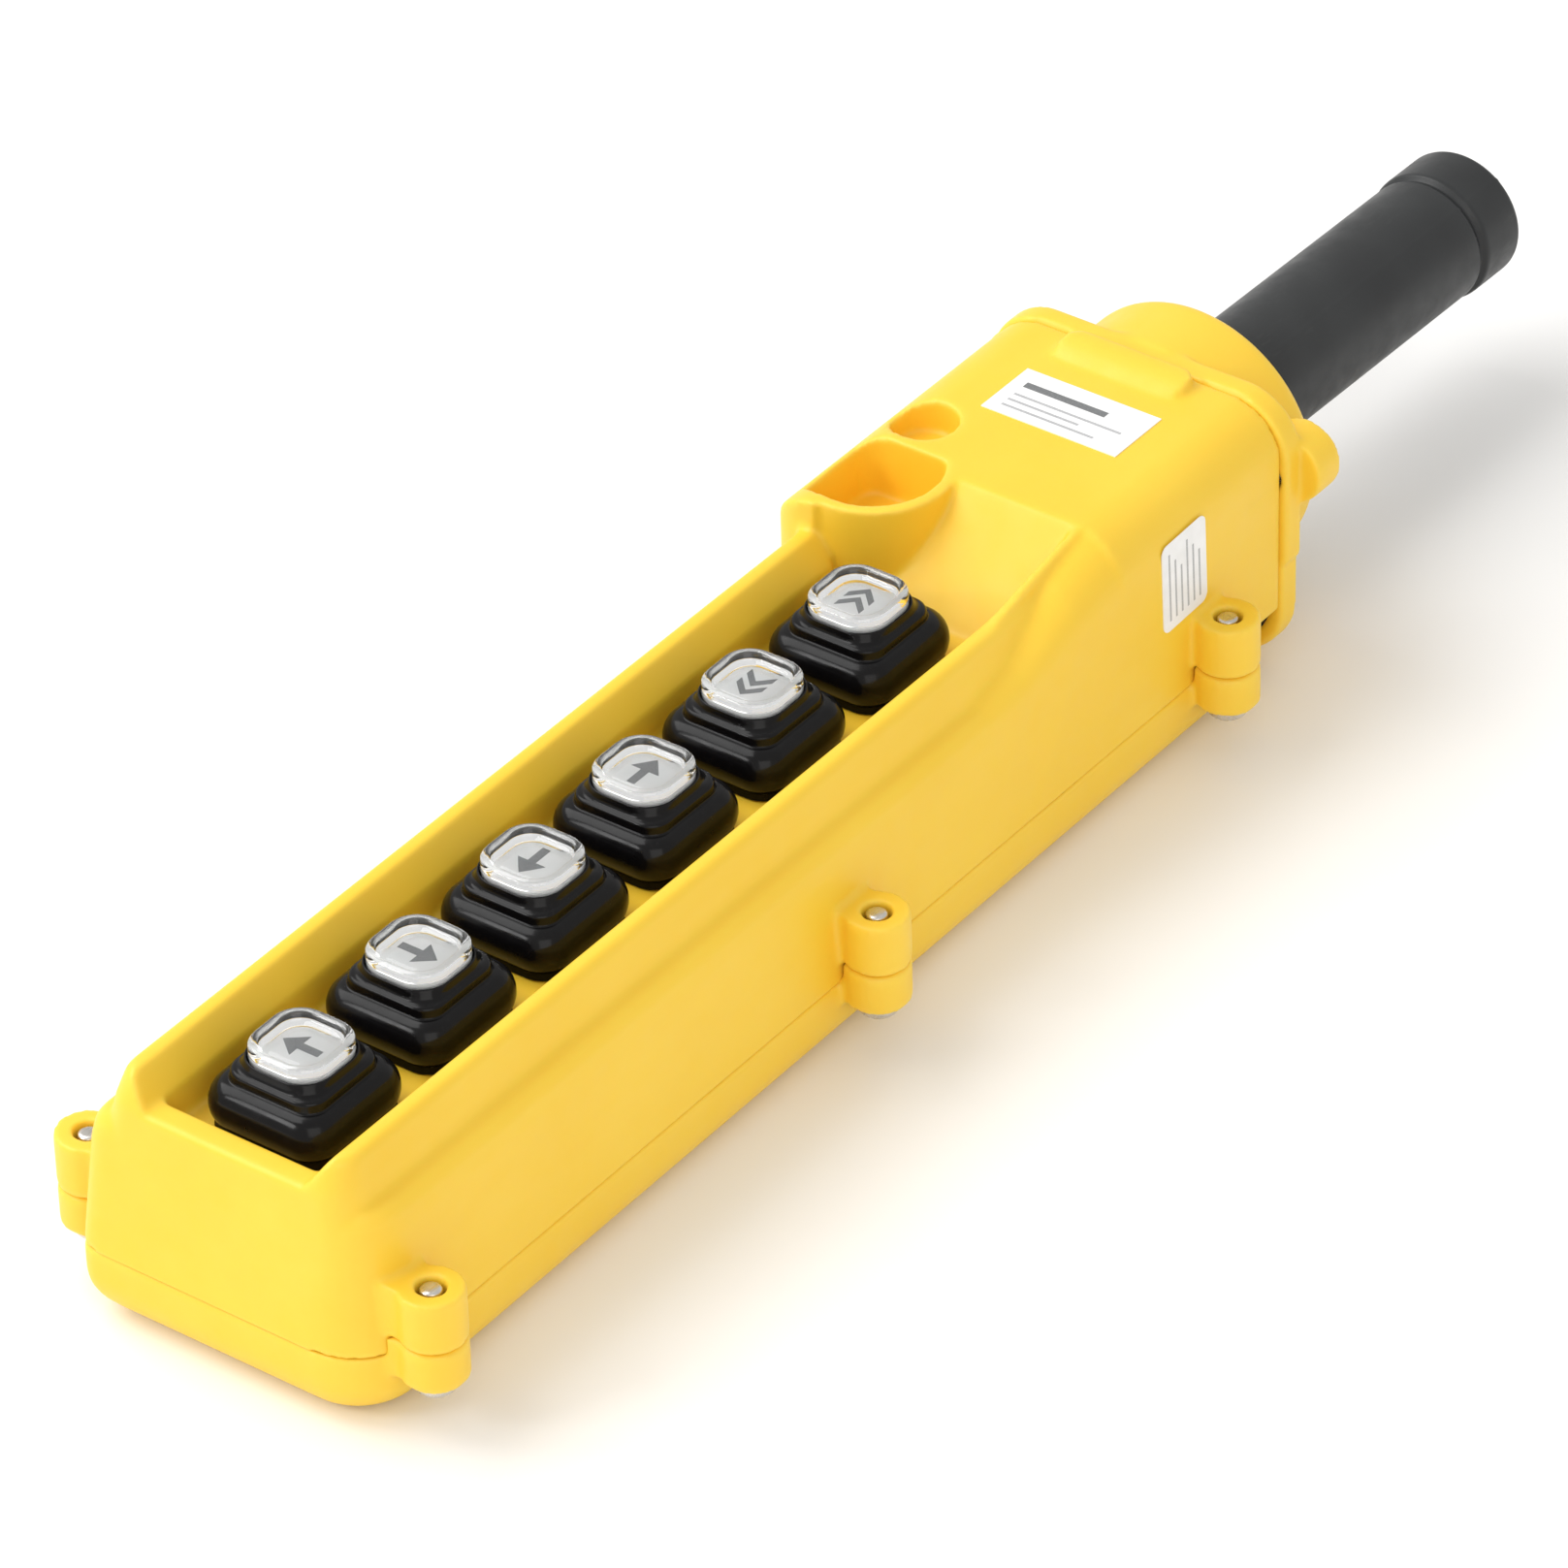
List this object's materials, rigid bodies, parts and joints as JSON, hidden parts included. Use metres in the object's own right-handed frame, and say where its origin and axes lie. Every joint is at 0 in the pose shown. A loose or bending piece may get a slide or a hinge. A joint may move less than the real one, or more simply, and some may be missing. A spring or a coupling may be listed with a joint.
{
  "type": "pendant control station",
  "caption": "Handheld pendant control station: long yellow two-shell case with a recessed row of booted push buttons, screw ears, end bell and rubber cable sleeve.",
  "frame": {"origin": "middle of the footprint, on the rear face", "axes": "+Z out of the button face, +Y along the case towards the cable end, +X across to the side with the side label"},
  "size_m": [0.0866, 0.3852, 0.0613],
  "materials": {
    "yellow_plastic": "satin",
    "seal_rubber": "matte",
    "sleeve_rubber": "matte",
    "plated_steel": "satin",
    "screw_steel": "polished",
    "cream_plastic": "matte",
    "green_metal": "satin",
    "label_white": "satin",
    "boot_rubber": "gloss",
    "clear_cap": "gloss",
    "legend_white": "satin",
    "spring_steel": "satin",
    "black_plastic": "matte"
  },
  "bodies": {
    "housing": {"front_cover": "yellow_plastic", "rear_casing": "yellow_plastic", "case_gasket": "seal_rubber", "case_screws": "screw_steel", "end_bell": "yellow_plastic", "bell_gasket": "seal_rubber", "bell_screws": "screw_steel", "grip_sleeve": "sleeve_rubber", "sleeve_ring": "plated_steel", "ring_screws": "screw_steel", "clamp_saddle": "plated_steel", "clamp_strap": "plated_steel", "clamp_screws": "screw_steel", "boot_plate": "plated_steel", "boot_plate_screws": "screw_steel", "chassis_rail": "plated_steel", "rail_screws": "screw_steel", "terminal_block": "cream_plastic", "terminal_screws": "screw_steel", "ground_screw": "green_metal", "front_label": "label_white", "side_label": "label_white", "boot_1": "boot_rubber", "boot_2": "boot_rubber", "boot_3": "boot_rubber", "boot_4": "boot_rubber", "boot_5": "boot_rubber", "boot_6": "boot_rubber", "spring_1": "spring_steel", "spring_2": "spring_steel", "spring_3": "spring_steel", "spring_4": "spring_steel", "spring_5": "spring_steel", "spring_6": "spring_steel", "contact_block_1": "black_plastic", "contact_block_2": "black_plastic", "contact_block_3": "black_plastic", "contact_block_4": "black_plastic", "contact_block_5": "black_plastic", "contact_block_6": "black_plastic"},
    "button_1": {"cap_1": "clear_cap", "legend_1": "legend_white", "plunger_1": "cream_plastic"},
    "button_2": {"cap_2": "clear_cap", "legend_2": "legend_white", "plunger_2": "cream_plastic"},
    "button_3": {"cap_3": "clear_cap", "legend_3": "legend_white", "plunger_3": "cream_plastic"},
    "button_4": {"cap_4": "clear_cap", "legend_4": "legend_white", "plunger_4": "cream_plastic"},
    "button_5": {"cap_5": "clear_cap", "legend_5": "legend_white", "plunger_5": "cream_plastic"},
    "button_6": {"cap_6": "clear_cap", "legend_6": "legend_white", "plunger_6": "cream_plastic"}
  },
  "joints": [
    {"name": "press_1", "type": "slide", "parent": "housing", "child": "button_1", "axis": [0, 0, -1], "range_m": [0, 0.005], "stiffness_N_per_m": 900, "springref_m": -0.004, "deforming": ["boot_1", "spring_1"]},
    {"name": "press_2", "type": "slide", "parent": "housing", "child": "button_2", "axis": [0, 0, -1], "range_m": [0, 0.005], "stiffness_N_per_m": 900, "springref_m": -0.004, "deforming": ["boot_2", "spring_2"]},
    {"name": "press_3", "type": "slide", "parent": "housing", "child": "button_3", "axis": [0, 0, -1], "range_m": [0, 0.005], "stiffness_N_per_m": 900, "springref_m": -0.004, "deforming": ["boot_3", "spring_3"]},
    {"name": "press_4", "type": "slide", "parent": "housing", "child": "button_4", "axis": [0, 0, -1], "range_m": [0, 0.005], "stiffness_N_per_m": 900, "springref_m": -0.004, "deforming": ["boot_4", "spring_4"]},
    {"name": "press_5", "type": "slide", "parent": "housing", "child": "button_5", "axis": [0, 0, -1], "range_m": [0, 0.005], "stiffness_N_per_m": 900, "springref_m": -0.004, "deforming": ["boot_5", "spring_5"]},
    {"name": "press_6", "type": "slide", "parent": "housing", "child": "button_6", "axis": [0, 0, -1], "range_m": [0, 0.005], "stiffness_N_per_m": 900, "springref_m": -0.004, "deforming": ["boot_6", "spring_6"]}
  ]
}
